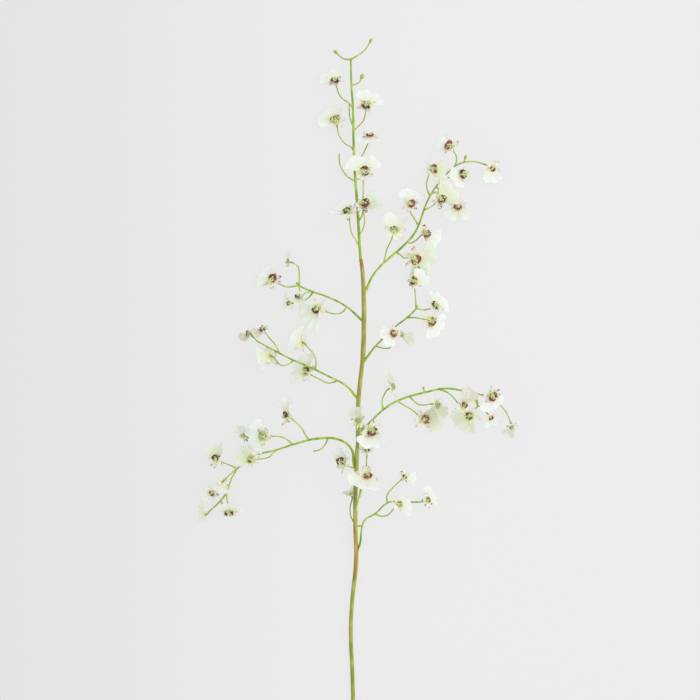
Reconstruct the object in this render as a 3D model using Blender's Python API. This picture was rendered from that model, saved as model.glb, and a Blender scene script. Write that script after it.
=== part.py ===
"""A cut spray of dancing-lady orchid, laid on its back on a table.

The frame is metres, +Y along the stem from the cut end to the tip, +X to the right of the spray and
+Z up, away from the table. Places below are millimetres from the cut end, on the table under the
stem's line, and one empty carries the whole spray to the middle of its outline.

The spray is one stout stem with a thinner tip, four branches to the right and three to the left.
Each blossom is a fan-shaped lip and five narrow tepals round a raised heart, on a stalk of its own.
"""

import math
from typing import NamedTuple

import bmesh
import bpy
from mathutils import Matrix, Vector

MM = 0.001
GAP = 0.3  # clearance between a blossom and its stalk, mm

# A blossom of size 1, in mm from the middle of its heart
HEART_RADIUS = 3.0
HEART_RISE = 4.0  # how far the column stands above the tepals
HEART_SIDES = 6  # one for each tepal and one for the lip
LIP_LENGTH = 23.0
LIP_NECK = 8.0  # where the lip's claw opens into the fan
LIP_NECK_SPREAD = 29  # half angle of the claw at most, which leaves the tepals beside it free
LIP_NOTCH = 0.8  # length of the fan on its middle line, between the two lobes
LIP_SIDE = 0.84  # length of the fan at its two sides
LIP_RUNS = 4
LIP_WAVE = 1.3
TEPAL_BEARINGS = (-150, -30, 30, 90, 150)
TEPAL_LENGTH = 12.0
TEPAL_WAIST = 6.5  # how far out a tepal is widest
TEPAL_WIDTH = 5.0
TEPAL_ARCH = 0.1
TEPAL_DROOP = 1.6
PETAL_THICKNESS = 0.8
HEART_AHEAD = (1.5, 3.5)  # from the blossom's base to its heart's front: along the lip, along the face

# Stalks, in mm
STALK_RADIUS = 0.85
OVARY_RADIUS = 1.15  # the seed pod behind a blossom
OVARY_LENGTH = 8.0
JOINED_DEPTH = 1.5  # how far a stalk runs into a blossom that is one solid with it

STEM_OLIVE = ("stem_olive", (0.29, 0.32, 0.09), 0.55)
STEM_GREEN = ("stem_green", (0.27, 0.42, 0.08), 0.5)
PETAL_CREAM = ("petal_cream", (0.86, 0.88, 0.8), 0.7)


class Stem(NamedTuple):
    """A stem's points in mm, each with its radius, and its surface."""

    points: list
    surface: tuple


class Blossom(NamedTuple):
    """Bearings are degrees from +X towards +Y, and the stalk's points are mm from stem to blossom."""

    stem: str
    heart: tuple
    faces: tuple  # bearing of the way it faces, and how far that is tilted from straight up
    lip: float  # bearing of the lip
    size: float
    spread: float  # half angle of the lip's fan
    stalk: list


class Bud(NamedTuple):
    """A closed bud at the end of a stalk."""

    stem: str
    length: float
    radius: float
    stalk: list


STEMS = {
    "main_stem": Stem(
        [(2, 0, 2.7, 2.7), (4, 107, 5, 2.6), (3, 146, 6, 2.6), (1, 199, 9, 2.6), (3, 239, 11, 2.6),
         (8, 291, 14, 2.9), (7, 337, 17, 2.8), (7, 376, 19, 2.8), (8, 404, 21, 2.9), (9, 430, 22, 2.9),
         (10, 446, 22, 2.1), (10, 459, 22, 2.4), (11, 500, 22, 2.9), (16, 549, 22, 2.7),
         (17, 562, 22, 3.2), (18, 591, 22, 3.0), (18, 630, 22, 3.0), (16, 669, 22, 2.6),
         (14, 683, 22, 2.2)],
        STEM_OLIVE),
    "tip_stem": Stem(
        [(14, 683.4, 22, 1.9), (11, 727, 22, 1.8), (9, 760, 22, 1.8), (7, 786, 21, 1.7),
         (5, 825, 20, 1.6), (4, 877, 19, 1.5), (2, 910, 18, 1.3), (1, 944, 17, 1.2)],
        STEM_GREEN),
    "right_branch_1": Stem(
        [(21.5, 644, 21, 1.6), (27, 657, 20, 1.3), (36, 670, 20, 1.3), (53, 686, 20, 1.4),
         (68, 699, 20, 1.4), (82, 714, 20, 1.4), (90, 729, 20, 1.3), (96, 747, 21, 1.2),
         (104, 765, 20, 1.1), (117, 784, 18, 1.0), (133, 801, 18, 1.0), (142, 807, 19, 1.0),
         (161, 810, 19, 0.9), (174, 807, 17, 0.9)],
        STEM_GREEN),
    "right_branch_2": Stem(
        [(21, 554, 21, 1.5), (29, 565, 20, 1.2), (42, 579, 18, 1.2), (60, 596, 17, 1.1),
         (74, 607, 18, 1.1), (86, 619, 20, 1.0), (88, 623, 20, 1.3)],
        STEM_GREEN),
    "right_branch_3": Stem(
        [(13.8, 459, 21, 1.3), (24, 469, 20, 1.2), (30, 475, 19, 1.2), (43, 487, 19, 1.3),
         (62, 499, 19, 1.4), (98, 510, 19, 1.3), (126, 515, 20, 1.3), (147, 512, 20, 1.2),
         (163, 509, 19, 1.0), (173, 506, 19, 0.9)],
        STEM_GREEN),
    "right_branch_4": Stem(
        [(12.3, 310, 16, 1.2), (16, 335, 16, 1.1), (19, 343, 16, 1.1), (33, 352, 16, 1.0),
         (49, 366, 17, 1.0), (60, 368, 17, 0.9), (78, 367, 16, 0.9), (91, 367, 16, 0.9)],
        STEM_GREEN),
    "left_branch_1": Stem(
        [(14.0, 605, 21, 1.4), (-4, 621, 20, 1.2), (-29, 634, 20, 1.2), (-49, 641, 20, 1.1),
         (-66, 649, 19, 1.0), (-70, 653, 19, 1.2)],
        STEM_GREEN),
    "left_branch_2": Stem(
        [(7.2, 505, 21, 1.4), (-3, 517, 20, 1.3), (-30, 532, 22, 1.3), (-57, 545, 24, 1.2),
         (-74, 552, 22, 1.1), (-92, 561, 20, 1.1), (-105, 568, 19, 1.0), (-120, 576, 17, 0.9)],
        STEM_GREEN),
    "left_branch_3": Stem(
        [(4.6, 419, 20, 1.6), (2, 436, 20, 1.5), (-13, 448, 20, 1.5), (-41, 450, 20, 1.5),
         (-71, 443, 20, 1.3), (-96, 435, 20, 1.2), (-122, 428, 18, 1.1), (-141, 416, 16, 1.0),
         (-153, 400, 15, 1.0), (-161, 379, 13, 1.0), (-173, 364, 13, 1.0), (-183, 355, 13, 0.9)],
        STEM_GREEN),
}

BLOSSOMS = [
    # the tip
    Blossom("tip_stem", (-20, 918, 21), (90, 38), 125, 1.0, 70,
            [(3, 881, 19), (-3, 887, 20), (-8, 890, 22), (-13, 895, 23)]),
    Blossom("tip_stem", (22, 884, 34), (90, 22), 68, 1.0, 70,
            [(5, 850, 19), (10, 855, 21), (17, 862, 23), (19, 867, 24)]),
    Blossom("tip_stem", (-19, 865, 21), (90, 30), 140, 1.1, 70,
            [(5, 824, 19), (1, 829, 20), (-5, 832, 21), (-10, 837, 21), (-14, 843, 22)]),
    Blossom("tip_stem", (26, 845, 26), (90, 60), 270, 0.95, 78,
            [(5, 806, 20), (14, 815, 20), (21, 828, 20)]),
    Blossom("tip_stem", (17, 796, 46), (93, 22), 93, 1.2, 72,
            [(11, 731, 22), (16, 741, 26), (17, 759, 29), (17, 774, 33)]),
    Blossom("tip_stem", (-4, 746, 34), (106, 50), 165, 1.1, 50,
            [(12, 699, 22), (8, 707, 22), (4, 713, 23), (1, 721, 25)]),
    Blossom("tip_stem", (18, 755, 42), (90, 45), 8, 1.15, 55,
            [(11, 710, 22), (14, 717, 25), (17, 722, 28), (19, 731, 31)]),
    # the first branch on the right
    Blossom("right_branch_1", (58, 721, 34), (73, 20), 90, 1.2, 35,
            [(44, 678, 20), (46, 688, 21), (48, 696, 22), (52, 704, 23)]),
    Blossom("right_branch_1", (78, 756, 30), (74, 20), 80, 1.0, 62,
            [(88, 728, 20), (83, 737, 21), (79, 743, 21)]),
    Blossom("right_branch_1", (108, 799, 38), (37, 30), 345, 1.1, 60,
            [(104, 765, 20), (100, 774, 24), (99, 780, 25), (101, 788, 27)]),
    Blossom("right_branch_1", (128, 830, 32), (133, 45), 175, 1.0, 55,
            [(135, 802, 18), (138, 809, 22), (138, 816, 23)]),
    Blossom("right_branch_1", (148, 793, 26), (0, 25), 215, 0.9, 60,
            [(115, 783, 17), (126, 789, 16), (135, 790, 16)]),
    Blossom("right_branch_1", (186, 800, 24), (325, 25), 265, 0.95, 50,
            [(174, 807, 17)]),
    Blossom("right_branch_1", (118, 761, 42), (45, 22), 35, 1.2, 52,
            [(96, 747, 21), (100, 748, 26), (106, 751, 29)]),
    Blossom("right_branch_1", (141, 753, 14), (90, 20), 265, 1.05, 60,
            [(112, 778, 18), (119, 771, 10), (130, 763, 5)]),
    Blossom("right_branch_1", (100, 717, 26), (30, 35), 313, 1.1, 50,
            [(74, 706, 20), (78, 704, 19), (82, 705, 19)]),
    Blossom("right_branch_1", (85, 682, 36), (290, 20), 335, 1.3, 75,
            [(60, 692, 20), (66, 688, 23), (71, 684, 26)]),
    # the second branch on the right
    Blossom("right_branch_2", (84, 654, 40), (80, 18), 30, 0.9, 50,
            [(86, 620, 20), (85, 634, 24), (84, 643, 27)]),
    Blossom("right_branch_2", (113, 625, 20), (45, 38), 45, 1.0, 66,
            [(86, 619, 20), (91, 618, 20), (96, 617, 19), (101, 618, 19)]),
    Blossom("right_branch_2", (106, 602, 38), (350, 28), 316, 1.1, 66,
            [(74, 607, 18), (84, 607, 24)]),
    Blossom("right_branch_2", (57, 587, 42), (80, 35), 200, 0.9, 66,
            [(34, 570, 19), (40, 568, 21), (47, 567, 24), (53, 569, 28)]),
    Blossom("right_branch_2", (67, 588, 27.5), (50, 70), 319, 1.1, 50,
            [(58, 594, 17), (57, 588, 19)]),
    # the first branch on the left
    Blossom("left_branch_1", (-82, 680, 28), (180, 70), 80, 0.75, 50,
            [(-66, 649, 19), (-66, 667, 21), (-68, 674, 22)]),
    Blossom("left_branch_1", (-103, 657, 20), (142, 35), 152, 1.1, 62,
            [(-67, 649, 19), (-82, 647, 19)]),
    Blossom("left_branch_1", (-66, 634, 38), (90, 50), 270, 0.65, 45,
            [(-49, 641, 20), (-58, 639, 24)]),
    Blossom("left_branch_1", (-81, 626, 20), (180, 50), 150, 0.75, 60,
            [(-48, 640, 20), (-54, 633, 17), (-63, 628, 16)]),
    Blossom("left_branch_1", (-45, 618, 36), (166, 30), 218, 1.3, 58,
            [(-4, 621, 20), (-10, 614, 22), (-21, 612, 24)]),
    # the second branch on the left
    Blossom("left_branch_2", (-131, 587, 24), (120, 50), 235, 0.7, 32,
            [(-120, 576, 17)]),
    Blossom("left_branch_2", (-113, 593, 36), (105, 50), 225, 0.75, 32,
            [(-92, 561, 20), (-95, 569, 23), (-103, 579, 26)]),
    Blossom("left_branch_2", (-108, 556, 11), (190, 130), 190, 1.15, 50,
            [(-73, 552, 22), (-79, 547, 20), (-89, 545, 21)]),
    Blossom("left_branch_2", (-65, 577, 12), (150, 130), 150, 1.1, 66,
            [(-45, 540, 23), (-44, 550, 21), (-47, 559, 20)]),
    Blossom("left_branch_2", (-60, 538, 18.3), (150, 40), 140, 1.15, 80,
            [(-17, 525, 21), (-22, 523, 15), (-29, 522, 12), (-40, 527, 9)]),
    # the third branch on the left
    Blossom("left_branch_3", (-84, 481, 26), (170, 60), 75, 1.05, 40,
            [(-53, 448, 20), (-58, 455, 21), (-63, 464, 21)]),
    Blossom("left_branch_3", (-113, 453, 38), (185, 20), 180, 1.15, 76,
            [(-74, 442, 20), (-82, 449, 24), (-91, 453, 27)]),
    Blossom("left_branch_3", (-140, 453, 20), (200, 40), 100, 0.7, 50,
            [(-115, 430, 19), (-125, 440, 15)]),
    Blossom("left_branch_3", (-129, 424, 34), (165, 30), 155, 1.0, 42,
            [(-95, 435, 20), (-99, 432, 21), (-105, 426, 22)]),
    Blossom("left_branch_3", (-175, 425, 26), (145, 35), 90, 1.0, 35,
            [(-146, 410, 16), (-156, 415, 18)]),
    Blossom("left_branch_3", (-167, 392, 22), (220, 148), 250, 0.7, 60,
            [(-148, 409, 15), (-153, 406, 25)]),
    Blossom("left_branch_3", (-181, 378, 16.5), (225, 30), 230, 0.85, 52,
            [(-157, 390, 14), (-167, 385, 11)]),
    Blossom("left_branch_3", (-192, 351, 22), (190, 112), 130, 0.8, 60,
            [(-183, 355, 13)]),
    Blossom("left_branch_3", (-157, 351, 16), (270, 50), 90, 0.95, 78,
            [(-161, 379, 13), (-160, 369, 15)]),
    # the third branch on the right
    Blossom("right_branch_3", (58, 518, 28), (10, 74), 90, 1.1, 60,
            [(43, 487, 19), (42, 500, 21), (46, 510, 23)]),
    Blossom("right_branch_3", (98, 474, 20), (329, 18), 3, 1.15, 56,
            [(61, 499, 19), (72, 492, 16), (81, 487, 15)]),
    Blossom("right_branch_3", (115, 495, 38), (10, 60), 285, 1.1, 50,
            [(78, 504, 19), (83, 499, 22), (90, 494, 26)]),
    Blossom("right_branch_3", (148, 494, 44), (0, 40), 86, 1.15, 20,
            [(116, 514, 20), (128, 509, 27)]),
    Blossom("right_branch_3", (155, 478, 17.5), (232, 25), 228, 1.2, 60,
            [(162, 509, 19), (166, 492, 15)]),
    Blossom("right_branch_3", (185, 505, 32), (340, 35), 283, 1.1, 66,
            [(172, 506, 19)]),
    Blossom("right_branch_3", (184, 476, 20), (309, 45), 275, 0.75, 55,
            [(162, 508, 19), (165, 495, 16), (171, 489, 14)]),
    Blossom("right_branch_3", (211, 463, 18), (283, 45), 225, 0.7, 35,
            [(172, 507, 19), (188, 499, 15), (203, 485, 13)]),
    # the middle, on the main stem
    Blossom("main_stem", (9, 474, 38), (160, 35), 88, 0.95, 12,
            [(11, 462, 23), (18, 466, 27)]),
    Blossom("main_stem", (28, 461, 38), (90, 20), 267, 1.15, 54,
            [(10, 456, 22), (20, 455, 25)]),
    Blossom("main_stem", (22, 436, 20), (90, 62), 100, 0.8, 60,
            [(12, 374, 28), (18, 394, 22), (21, 410, 18)]),
    Blossom("main_stem", (-11, 420, 32), (155, 45), 92, 1.05, 16,
            [(12, 374, 28), (14, 400, 29), (6, 411, 27)]),
    Blossom("main_stem", (22, 405, 36), (80, 46), 232, 1.25, 76,
            [(8, 355, 20), (9, 363, 26), (12, 375, 28), (14, 383, 30)]),
    Blossom("main_stem", (1, 379, 14), (110, 70), 150, 0.6, 50,
            [(6, 340, 17), (2, 346, 15), (0, 358, 13)]),
    # the fourth branch on the right
    Blossom("right_branch_4", (73, 402, 28), (48, 50), 330, 0.8, 42,
            [(49, 366, 17), (48, 375, 19), (52, 382, 20)]),
    Blossom("right_branch_4", (103, 370, 19), (10, 45), 50, 0.9, 60,
            [(91, 367, 16)]),
    Blossom("right_branch_4", (65, 367, 34), (45, 50), 345, 0.95, 65,
            [(32, 352, 16), (41, 349, 21), (49, 351, 24)]),
]

# Small blossoms that are one solid with their stem, by their number in the list
JOINED = (26, 35, 38, 40, 48, 52, 55)

BUDS = [
    Bud("tip_stem", 7.0, 2.2, [(1, 943, 17), (-8, 944, 17), (-13, 947, 17), (-16, 950, 17)]),
    Bud("tip_stem", 8.0, 2.0, [(1, 943, 17), (13, 950, 17), (18, 954, 17), (22, 959, 17), (25, 964, 17)]),
    Bud("tip_stem", 8.0, 2.9, [(2, 909, 18), (8, 911, 18), (12, 913, 18), (14, 917, 18)]),
    Bud("right_branch_1", 7.0, 1.9, [(148, 809, 19), (149, 812, 20)]),
    Bud("left_branch_3", 7.0, 1.6, [(-168, 369, 13), (-167, 366, 13)]),
    Bud("right_branch_3", 3.5, 1.6, [(97, 510, 19), (96, 514, 19)]),
]

# Bare stalks that carry nothing: a loop beside the tip stem, two stalks whose blossom is gone,
# a stub that hangs from the left and one that props the lowest branch
SPURS = [
    ("tip_stem", [(3, 858, 19), (0, 867, 19), (-1, 879, 19), (-1, 886, 19)]),
    ("tip_stem", [(7, 784, 21), (-3, 790, 21), (-8, 796, 21), (-12, 803, 21), (-14, 812, 21), (-14, 820, 21)]),
    ("left_branch_3", [(-29, 449, 20), (-33, 441, 19), (-38, 436, 18), (-48, 433, 17)]),
    ("left_branch_1", [(-66, 648, 19), (-65, 641, 19)]),
    ("right_branch_4", [(15, 336, 16), (11.2, 336, 16)]),
]


def surface(name, colour, roughness):
    """A plain material, made once."""
    material = bpy.data.materials.get(name) or bpy.data.materials.new(name)
    material.use_nodes = True
    shader = material.node_tree.nodes["Principled BSDF"]
    shader.inputs["Base Color"].default_value = (*colour, 1)
    shader.inputs["Roughness"].default_value = roughness
    return material


def add_object(name, data, carrier, helper=False):
    """A new object that the carrier empty moves. A helper shapes another object and isn't a piece."""
    obj = bpy.data.objects.new(name, data)
    bpy.context.scene.collection.objects.link(obj)
    obj.parent = carrier
    if helper:
        obj.hide_render = True
        obj.display_type = "WIRE"
    return obj


def tube_mesh(name, points, steps):
    """A closed round mesh along a smooth curve through (x, y, z, radius) points in mm."""
    curve = bpy.data.curves.new(name, "CURVE")
    curve.dimensions = "3D"
    curve.bevel_depth = MM
    curve.bevel_resolution = 1
    curve.use_fill_caps = True
    curve.resolution_u = steps
    spline = curve.splines.new("BEZIER")
    spline.bezier_points.add(len(points) - 1)
    for knot, (x, y, z, radius) in zip(spline.bezier_points, points):
        knot.co = Vector((x, y, z)) * MM
        knot.radius = radius
        knot.handle_left_type = knot.handle_right_type = "AUTO"
    guide = bpy.data.objects.new(name, curve)
    bpy.context.scene.collection.objects.link(guide)
    mesh = bpy.data.meshes.new_from_object(guide.evaluated_get(bpy.context.evaluated_depsgraph_get()))
    bpy.data.objects.remove(guide)
    bpy.data.curves.remove(curve)
    bm = bmesh.new()
    bm.from_mesh(mesh)
    bmesh.ops.remove_doubles(bm, verts=bm.verts, dist=1e-6)
    bmesh.ops.recalc_face_normals(bm, faces=bm.faces)
    bm.to_mesh(mesh)
    bm.free()
    mesh.shade_smooth()
    return mesh


def bud_points(stalk, length, radius):
    """The stalk's points with the bud swelling and closing past its end."""
    end = Vector(stalk[-1])
    ahead = (end - Vector(stalk[-2])).normalized()
    shape = ((0.3, 0.85), (0.6, 1.0), (0.9, 0.6), (1.0, 0.2))
    swelling = [(*(end + ahead * length * along), radius * share) for along, share in shape]
    return [(*point, STALK_RADIUS) for point in stalk] + swelling


def blossom_axes(blossom):
    """The way a blossom faces and the way its lip points, square to each other."""
    bearing, tilt = (math.radians(angle) for angle in blossom.faces)
    face = Vector((math.sin(tilt) * math.cos(bearing), math.sin(tilt) * math.sin(bearing), math.cos(tilt)))
    lip_bearing = math.radians(blossom.lip)
    level = Vector((math.cos(lip_bearing), math.sin(lip_bearing), 0))
    lip = (level - Vector((0, 0, level.dot(face) / face.z))).normalized()
    return face, lip


def blossom_base(blossom):
    """The middle of the blossom's base, behind its heart, in mm."""
    face, lip = blossom_axes(blossom)
    along_lip, along_face = HEART_AHEAD
    return Vector(blossom.heart) - (lip * along_lip + face * along_face) * blossom.size


def blossom_matrix(blossom):
    """Turns a blossom that faces +Z with its lip towards -Y to its place, in metres."""
    face, lip = blossom_axes(blossom)
    side = face.cross(lip)
    turn = Matrix((side, -lip, face)).transposed().to_4x4()
    return Matrix.Translation(blossom_base(blossom) * MM) @ turn


def stalk_points(blossom, closes):
    """The stalk from the stem to just behind the blossom, or into it where it closes the gap."""
    face, _ = blossom_axes(blossom)
    base = blossom_base(blossom)
    end = -JOINED_DEPTH if closes else PETAL_THICKNESS + GAP
    pod = [(*(base - face * (end + OVARY_LENGTH)), STALK_RADIUS),
           (*(base - face * (end + OVARY_LENGTH / 2)), OVARY_RADIUS),
           (*(base - face * end), STALK_RADIUS)]
    return [(*point, STALK_RADIUS) for point in blossom.stalk] + pod


def polar(radius, bearing, z):
    """A point by its distance and its bearing in degrees, in mm."""
    angle = math.radians(bearing)
    return Vector((radius * math.cos(angle), radius * math.sin(angle), z))


def extrude_run(bm, edges):
    """Extrudes a run of edges, and gives the new points and the new run."""
    made = bmesh.ops.extrude_edge_only(bm, edges=edges)["geom"]
    points = [item for item in made if isinstance(item, bmesh.types.BMVert)]
    run = [item for item in made if isinstance(item, bmesh.types.BMEdge) and set(item.verts) <= set(points)]
    return points, run


def grow_tepal(bm, edge, bearing):
    """Draws one side of the heart out into a narrow pointed tepal, arched along its length."""
    along = polar(1, bearing, 0)
    across = polar(1, bearing + 90, 0)
    run = [edge]
    for distance, width, z in ((TEPAL_WAIST, TEPAL_WIDTH, TEPAL_ARCH), (TEPAL_LENGTH, 0, -TEPAL_DROOP)):
        points, run = extrude_run(bm, run)
        for point in points:
            side = math.copysign(width / 2, point.co.dot(across))
            point.co = along * distance + across * side + Vector((0, 0, z))
    bmesh.ops.remove_doubles(bm, verts=points, dist=0.01)


def grow_lip(bm, edge, spread):
    """Draws the -Y side of the heart out into the two-lobed fan of the lip."""
    front = edge.verts[0].co.y
    bmesh.ops.subdivide_edges(bm, edges=[edge], cuts=LIP_RUNS - 1)
    run = [item for item in bm.edges if all(abs(point.co.y - front) < 0.01 for point in item.verts)]
    reach = (LIP_SIDE, 1.0, LIP_NOTCH, 1.0, LIP_SIDE)
    half_span = 180 / HEART_SIDES
    for ring, half_angle in ((LIP_NECK, min(LIP_NECK_SPREAD, spread)), (LIP_LENGTH, spread)):
        points, run = extrude_run(bm, run)
        for point in points:
            turn = math.degrees(math.atan2(point.co.x, -point.co.y)) / half_span
            step = round((turn + 1) * LIP_RUNS / 2)
            distance = ring if ring == LIP_NECK else ring * reach[step]
            wave = LIP_WAVE * math.cos(math.pi * step) * ring / LIP_LENGTH
            point.co = polar(distance, turn * half_angle - 90, wave)
        half_span = half_angle


def blossom_mesh(name, blossom):
    """One closed blossom that faces +Z, its lip towards -Y: a thick sheet with a raised heart."""
    bm = bmesh.new()
    turn = Matrix.Rotation(math.radians(180 / HEART_SIDES), 4, "Z")
    bmesh.ops.create_circle(bm, cap_ends=True, segments=HEART_SIDES, radius=HEART_RADIUS, matrix=turn)
    sides = {}
    for edge in bm.edges:
        middle = (edge.verts[0].co + edge.verts[1].co) / 2
        sides[round(math.degrees(math.atan2(middle.y, middle.x)))] = edge
    grow_lip(bm, sides[-90], blossom.spread)
    for bearing in TEPAL_BEARINGS:
        grow_tepal(bm, sides[bearing], bearing)
    bmesh.ops.recalc_face_normals(bm, faces=bm.faces)
    if max(bm.faces, key=lambda face: len(face.verts)).normal.z < 0:
        bmesh.ops.reverse_faces(bm, faces=bm.faces[:])
    bmesh.ops.solidify(bm, geom=bm.faces[:], thickness=PETAL_THICKNESS / blossom.size)
    back, front = sorted(bm.faces, key=lambda face: (len(face.verts), face.calc_center_median().z))[-2:]
    bmesh.ops.poke(bm, faces=[back])
    bmesh.ops.poke(bm, faces=[front])["verts"][0].co.z += HEART_RISE
    bmesh.ops.scale(bm, vec=Vector((MM, MM, MM)) * blossom.size, verts=bm.verts)
    bmesh.ops.recalc_face_normals(bm, faces=bm.faces)
    mesh = bpy.data.meshes.new(name)
    bm.to_mesh(mesh)
    bm.free()
    mesh.shade_smooth()
    return mesh


def add_blossom(number, blossom, carrier, helper):
    """A blossom at its place on the spray."""
    name = f"blossom_{number:02d}"
    obj = add_object(name, blossom_mesh(name, blossom), carrier, helper)
    obj.matrix_local = blossom_matrix(blossom)
    obj.data.materials.append(surface(*PETAL_CREAM))
    return obj


def add_stem(name, stem, carrier):
    """A stem, joined with the stalks, buds, bare spurs and joined blossoms that it carries."""
    pieces = bpy.data.collections.new(name + "_pieces")
    bpy.context.scene.collection.children.link(pieces)
    routes = [bud_points(bud.stalk, bud.length, bud.radius) for bud in BUDS if bud.stem == name]
    routes += [[(*point, STALK_RADIUS) for point in points] for owner, points in SPURS if owner == name]
    joined = []
    for number, blossom in enumerate(BLOSSOMS, 1):
        if blossom.stem == name:
            routes.append(stalk_points(blossom, number in JOINED))
        if blossom.stem == name and number in JOINED:
            joined.append(add_blossom(number, blossom, carrier, True))
    for count, points in enumerate(routes, 1):
        piece = f"{name}_stalk_{count}"
        joined.append(add_object(piece, tube_mesh(piece, points, 1), carrier, True))
    for piece in joined:
        bpy.context.scene.collection.objects.unlink(piece)
        pieces.objects.link(piece)
    obj = add_object(name, tube_mesh(name, stem.points, 2), carrier)
    obj.data.materials.append(surface(*stem.surface))
    union = obj.modifiers.new("stalks", "BOOLEAN")
    union.operation = "UNION"
    union.solver = "EXACT"
    union.operand_type = "COLLECTION"
    union.collection = pieces
    return obj


def centre(carrier, pieces):
    """Moves the spray so that the middle of its outline, at table height, is the origin."""
    bpy.context.view_layer.update()
    graph = bpy.context.evaluated_depsgraph_get()
    corners = [piece.matrix_world @ vertex.co
               for piece in pieces for vertex in piece.evaluated_get(graph).data.vertices]
    low = Vector(min(corner[axis] for corner in corners) for axis in range(3))
    high = Vector(max(corner[axis] for corner in corners) for axis in range(3))
    carrier.location = -Vector(((low.x + high.x) / 2, (low.y + high.y) / 2, low.z))


def main():
    for obj in list(bpy.data.objects):
        bpy.data.objects.remove(obj, do_unlink=True)
    carrier = bpy.data.objects.new("spray", None)
    bpy.context.scene.collection.objects.link(carrier)
    pieces = [add_stem(name, stem, carrier) for name, stem in STEMS.items()]
    pieces += [add_blossom(number, blossom, carrier, False)
               for number, blossom in enumerate(BLOSSOMS, 1) if number not in JOINED]
    centre(carrier, pieces)


main()
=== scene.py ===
"""The looks of a cut spray of dancing-lady orchid that lies on its back.

The stems are moulded plastic: a stout olive one, a bright green tip, seven branches and their stalks.
Each blossom is printed crinkled cloth, a fan-shaped lip and five speckled tepals, round a burgundy
crest and a mint-green column.

Places are millimetres from the cut end of the stem, as in the part's own source: X to the right, Y
along the stem and Z up from the table. `to_row` carries them to the row's frame in metres.
"""

import random
from math import cos, pi, radians, sin, sqrt
from typing import NamedTuple

import bmesh
import bpy
import numpy as np
from mathutils import Matrix, Vector


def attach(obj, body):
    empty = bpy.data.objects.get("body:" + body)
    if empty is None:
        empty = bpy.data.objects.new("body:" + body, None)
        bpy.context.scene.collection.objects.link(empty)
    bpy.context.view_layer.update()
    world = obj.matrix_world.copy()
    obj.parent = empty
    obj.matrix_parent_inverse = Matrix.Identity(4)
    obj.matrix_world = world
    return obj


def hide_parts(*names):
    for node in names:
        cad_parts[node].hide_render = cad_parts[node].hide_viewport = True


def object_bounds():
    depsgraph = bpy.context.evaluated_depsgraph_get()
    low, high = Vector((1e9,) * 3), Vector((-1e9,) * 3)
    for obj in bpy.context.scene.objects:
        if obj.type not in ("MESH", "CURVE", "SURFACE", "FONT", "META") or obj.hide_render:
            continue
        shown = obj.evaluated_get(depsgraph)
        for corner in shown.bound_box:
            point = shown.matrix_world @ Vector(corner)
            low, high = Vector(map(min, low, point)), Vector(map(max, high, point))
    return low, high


MM = 0.001
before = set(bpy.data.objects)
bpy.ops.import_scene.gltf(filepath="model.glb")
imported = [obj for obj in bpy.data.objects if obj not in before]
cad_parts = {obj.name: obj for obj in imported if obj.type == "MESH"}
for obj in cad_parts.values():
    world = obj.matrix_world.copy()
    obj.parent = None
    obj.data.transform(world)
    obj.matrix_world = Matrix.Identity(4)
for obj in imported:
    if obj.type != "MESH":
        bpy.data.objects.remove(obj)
cad_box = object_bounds()

# A blossom of size 1, in mm from the middle of its base. It faces +Z, its lip towards -Y
LIP_CLAW = 2.0  # where the lip starts
LIP_LENGTH = 23.0
LIP_SPREAD = 75  # half angle of the flat fan
LIP_ROWS = 9
LIP_COLUMNS = 24
LIP_NOTCH = 0.13  # how deep the notch between the two lobes is, as a share of the length
NOTCH_WIDTH = 0.13  # as a share of the fan's half angle
LIP_SIDE = 0.14  # how much shorter the fan is at its sides
LIP_FRILL = 0.04  # how deep the rim is scalloped, as a share of its radius
EAR_TURN = 0.7  # how much further round the heart the lip's side lobes reach
EAR_LENGTH = 0.2  # as a share of the lip's
EAR_LIFT = 1.6
LIP_THICKNESS = 0.3
TEPAL_START = 1.6
TEPAL_LENGTH = 12.5
TEPAL_WIDTH = 6.0
TEPAL_WIDTHS = (0.4, 0.66, 0.88, 1.0, 0.98, 0.74, 0.2)  # shares of it, from the heart to the tip
TEPAL_HOLLOW = 0.45  # how deep the middle lies below the sides
TEPAL_THICKNESS = 0.32
TEPAL_TURNS = (0, 60, -60, 120, -120)  # from the top tepal, in degrees
CREST_RADIUS = 3.5
CREST_THICKNESS = 1.25  # radius of the crest's roll where it is thinnest
CREST_MIDDLE = -1.6  # how far towards the lip its middle lies, along Y
CREST_HEIGHT = 2.4
COLUMN_RADIUS = 1.25
HEART_SIZES = (0.95, 1.2, 1.36)  # of a small heart, of most and of a large one
TALL_HEART = 1.7  # how much further out a tall heart stands
HEART_MIDDLE = -0.6  # the point along Y that an askew heart turns about
HEART_AHEAD = (1.5, 3.5)  # from the base to the heart's front: along the lip, along the face
SOFT = 1.5 * MM  # how near the table or the top a petal starts to bend along it
FOLD_SPREAD = 60  # a lip narrower than this is a fan of this half angle, folded forwards

# Stems and stalks, in mm
TUBE_SIDES = 14
TUBE_STEPS = 8  # between two of a stem's points
STALK_SIDES = 10
STALK_STEPS = 4
STALK_RADIUS = 0.85
STALK_FLARE = 1.5  # how much wider a stalk is where it leaves its stem
OVARY_LENGTH = 8.0  # the seed pod behind a blossom
OVARY_FADE = 4.0  # over this length its blue passes into the stalk's green
POD_SHAPE = ((1.0, 0.85), (0.75, 1.05), (0.45, 1.2), (0.15, 1.1), (0.0, 0.9))  # (share of length, radius)
BUD_SHAPE = ((0.12, 0.55), (0.3, 0.85), (0.55, 1.0), (0.78, 0.8), (0.93, 0.42), (1.0, 0.1))  # in shares
POD_BEND = 0.7  # how far the pod's far end bends towards its stalk
PETAL_BACK = 0.6  # where a stalk ends, behind the middle of a blossom's base
SHEATH_END = 700  # the main stem's tints are shares of this length


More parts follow.
